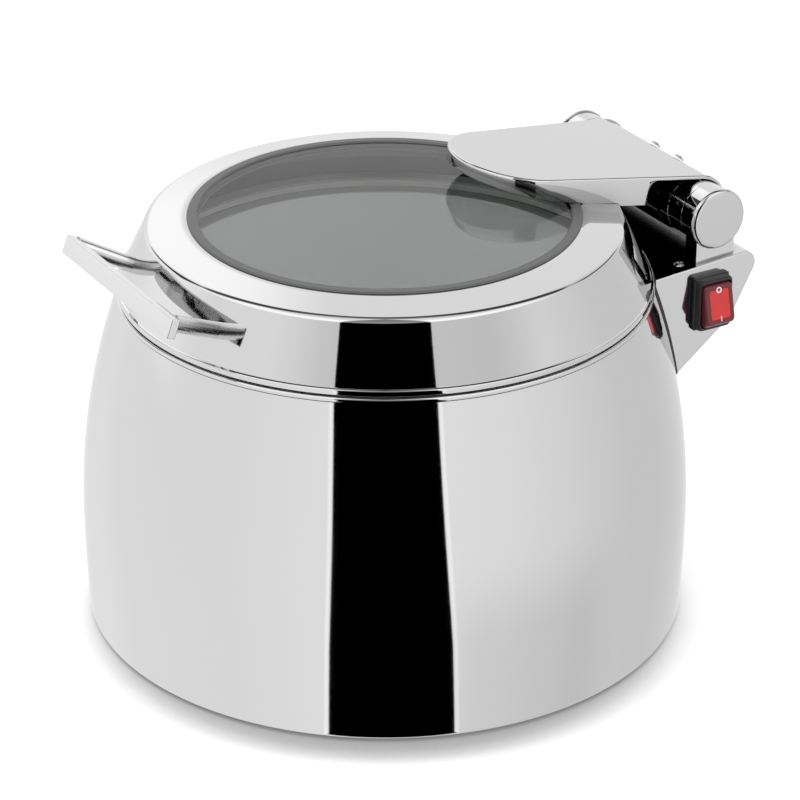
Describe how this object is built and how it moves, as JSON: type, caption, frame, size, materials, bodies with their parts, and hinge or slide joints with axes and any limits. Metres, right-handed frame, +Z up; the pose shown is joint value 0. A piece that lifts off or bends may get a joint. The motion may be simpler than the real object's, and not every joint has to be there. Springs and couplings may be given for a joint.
{
  "type": "electric soup kettle",
  "caption": "Barrel-shaped polished steel soup kettle with a hinged lid, round glass window, bar handle, rear control housing and rocker switch.",
  "frame": {"origin": "on the floor, under the middle of the barrel, at the centre of the foot ring's standing face", "axes": "+Z up; +Y towards the hinge and control housing at the back; +X towards the side with the rocker switch; the handle is at -Y"},
  "size_m": [0.38, 0.4115, 0.2842],
  "materials": {
    "polished_steel": "polished",
    "satin_steel": "satin",
    "plain_steel": "plain",
    "black_rubber": "matt",
    "grey_rubber": "matt",
    "white_silicone": "matt",
    "clear_glass": "clear",
    "aluminium": "cast",
    "element_steel": "dull",
    "white_ceramic": "matt",
    "black_plastic": "fine grain",
    "red_plastic": "gloss",
    "insulation": "woven",
    "lead_sleeve": "matt",
    "brass": "plain"
  },
  "bodies": {
    "base": {"body_shell": "polished_steel", "rim_ring": "polished_steel", "base_plate": "plain_steel", "foot_ring": "black_rubber", "base_screws": "plain_steel", "heated_well": "plain_steel", "soup_insert": "satin_steel", "insulation_jacket": "insulation", "heat_spreader": "aluminium", "heating_element": "element_steel", "element_clamp": "plain_steel", "clamp_nut": "plain_steel", "element_terminal": "white_ceramic", "thermostat": "black_plastic", "thermal_cutout": "white_ceramic", "control_housing": "polished_steel", "housing_seal": "black_rubber", "housing_tabs": "plain_steel", "housing_screws": "plain_steel", "cable_grommet": "black_rubber", "cable_loom": "lead_sleeve", "terminal_block": "white_ceramic", "switch_leads": "lead_sleeve", "inlet_leads": "lead_sleeve", "ground_stud": "brass", "mains_inlet": "black_plastic", "inlet_blades": "brass", "switch_block": "black_plastic", "switch_frame": "black_plastic", "hinge_bracket_left": "polished_steel", "hinge_bracket_right": "polished_steel", "bracket_bolts": "plain_steel", "hinge_bushes": "brass", "damper_left": "polished_steel", "damper_right": "polished_steel", "end_cap_left": "polished_steel", "end_cap_right": "polished_steel"},
    "lid": {"lid_shell": "polished_steel", "lid_stiffener": "plain_steel", "lid_seal": "white_silicone", "window_gasket": "grey_rubber", "window_glass": "clear_glass", "arm_plate": "plain_steel", "arm_screws": "plain_steel", "arm_cover": "polished_steel", "cover_screws": "plain_steel", "hinge_sleeve": "plain_steel", "sleeve_collars": "polished_steel", "hinge_shaft": "plain_steel", "handle_bar": "polished_steel", "handle_posts": "polished_steel", "handle_screws": "plain_steel"},
    "rocker": {"rocker": "red_plastic"}
  },
  "joints": [
    {"name": "lid_hinge", "type": "hinge", "parent": "base", "child": "lid", "pos_m": [0, 0.1925, 0.243], "axis": [-1, 0, 0], "range_deg": [0, 90]},
    {"name": "rocker_pivot", "type": "hinge", "parent": "base", "child": "rocker", "pos_m": [0.085, 0.187, 0.1905], "axis": [0, 1, 0], "range_deg": [0, 26]}
  ]
}
